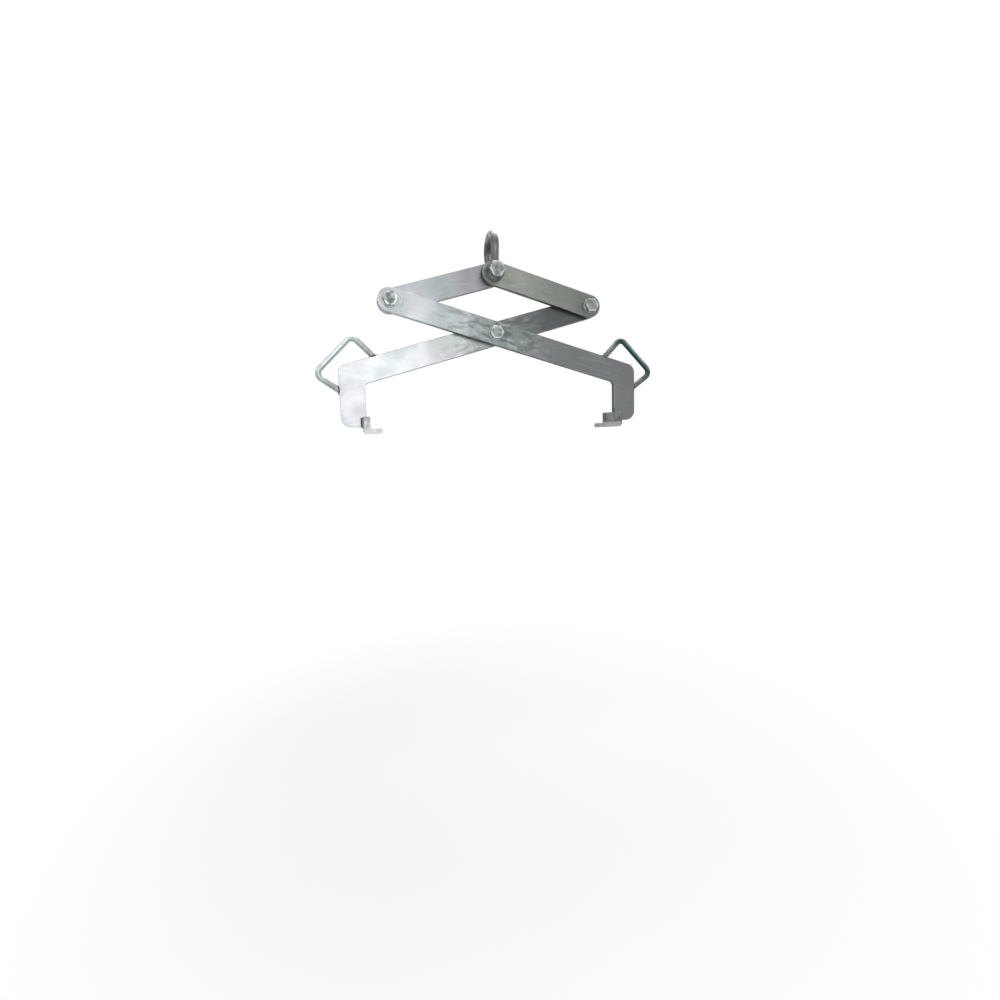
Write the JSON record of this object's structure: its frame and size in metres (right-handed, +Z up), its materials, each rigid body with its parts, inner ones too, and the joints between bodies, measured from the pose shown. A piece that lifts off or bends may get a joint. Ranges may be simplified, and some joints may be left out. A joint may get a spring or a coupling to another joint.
{
  "type": "drum lifter",
  "caption": "Scissor tong of flat zinc-coated bars on a bow shackle: lifting folds the bars, so the curved jaws close under a drum's rolled rim; rod handles set the jaws.",
  "frame": {"origin": "inside top of the shackle bow, where the crane hook sits", "axes": "+Z up, +X towards the right jaw in the picture, +Y away from the viewer along the pivots"},
  "size_m": [0.8584, 0.121, 0.4797],
  "materials": {
    "zinc_bar": "zinc-coated flat steel, scuffed",
    "zinc_rod": "zinc-coated round bar with a blue-green cast",
    "jaw_steel": "zinc-coated, worn on the lip",
    "fastener": "bright zinc",
    "washer": "zinc-coated",
    "forged_shackle": "galvanised forging",
    "bush": "plain bronze"
  },
  "bodies": {
    "shackle": {"shackle_bow": "forged_shackle", "shackle_pin": "fastener", "shackle_nut": "fastener", "split_pin": "fastener"},
    "top_hub": {"top_bush": "bush", "top_washers": "washer"},
    "left_link_set": {"left_link": "zinc_bar", "left_pivot_bolt": "fastener", "left_pivot_nut": "fastener", "left_pivot_washers": "washer"},
    "right_link_set": {"right_link": "zinc_bar", "right_pivot_bolt": "fastener", "right_pivot_nut": "fastener", "right_pivot_washers": "washer"},
    "right_arm_set": {"right_jaw_arm": "zinc_bar", "left_pivot_bush": "bush", "right_handle": "zinc_rod", "right_jaw_shoe": "jaw_steel", "centre_bolt": "fastener", "centre_nut": "fastener", "centre_washers": "washer"},
    "left_arm_set": {"left_jaw_arm": "zinc_bar", "right_pivot_bush": "bush", "centre_bush": "bush", "left_handle": "zinc_rod", "left_jaw_shoe": "jaw_steel"}
  },
  "joints": [
    {"name": "tong_swing", "type": "hinge", "parent": "shackle", "child": "top_hub", "pos_m": [0, 0, -0.082], "axis": [0, 1, 0], "range_deg": [-60, 60]},
    {"name": "left_link_fold", "type": "hinge", "parent": "top_hub", "child": "left_link_set", "pos_m": [0, 0, -0.082], "axis": [0, 1, 0], "range_deg": [0, 9.4]},
    {"name": "right_link_fold", "type": "hinge", "parent": "top_hub", "child": "right_link_set", "pos_m": [0, 0, -0.082], "axis": [0, 1, 0], "range_deg": [-9.4, 0]},
    {"name": "left_knuckle", "type": "hinge", "parent": "left_link_set", "child": "right_arm_set", "pos_m": [-0.2521, 0, -0.15334], "axis": [0, 1, 0], "range_deg": [-18.8, 0]},
    {"name": "right_knuckle", "type": "hinge", "parent": "right_link_set", "child": "left_arm_set", "pos_m": [0.2521, 0, -0.15334], "axis": [0, 1, 0], "range_deg": [0, 18.8]}
  ],
  "couplings": [
    {"joint": "right_link_fold", "follows": "left_link_fold", "ratio": -1},
    {"joint": "left_knuckle", "follows": "left_link_fold", "ratio": -2},
    {"joint": "right_knuckle", "follows": "left_link_fold", "ratio": 2}
  ]
}
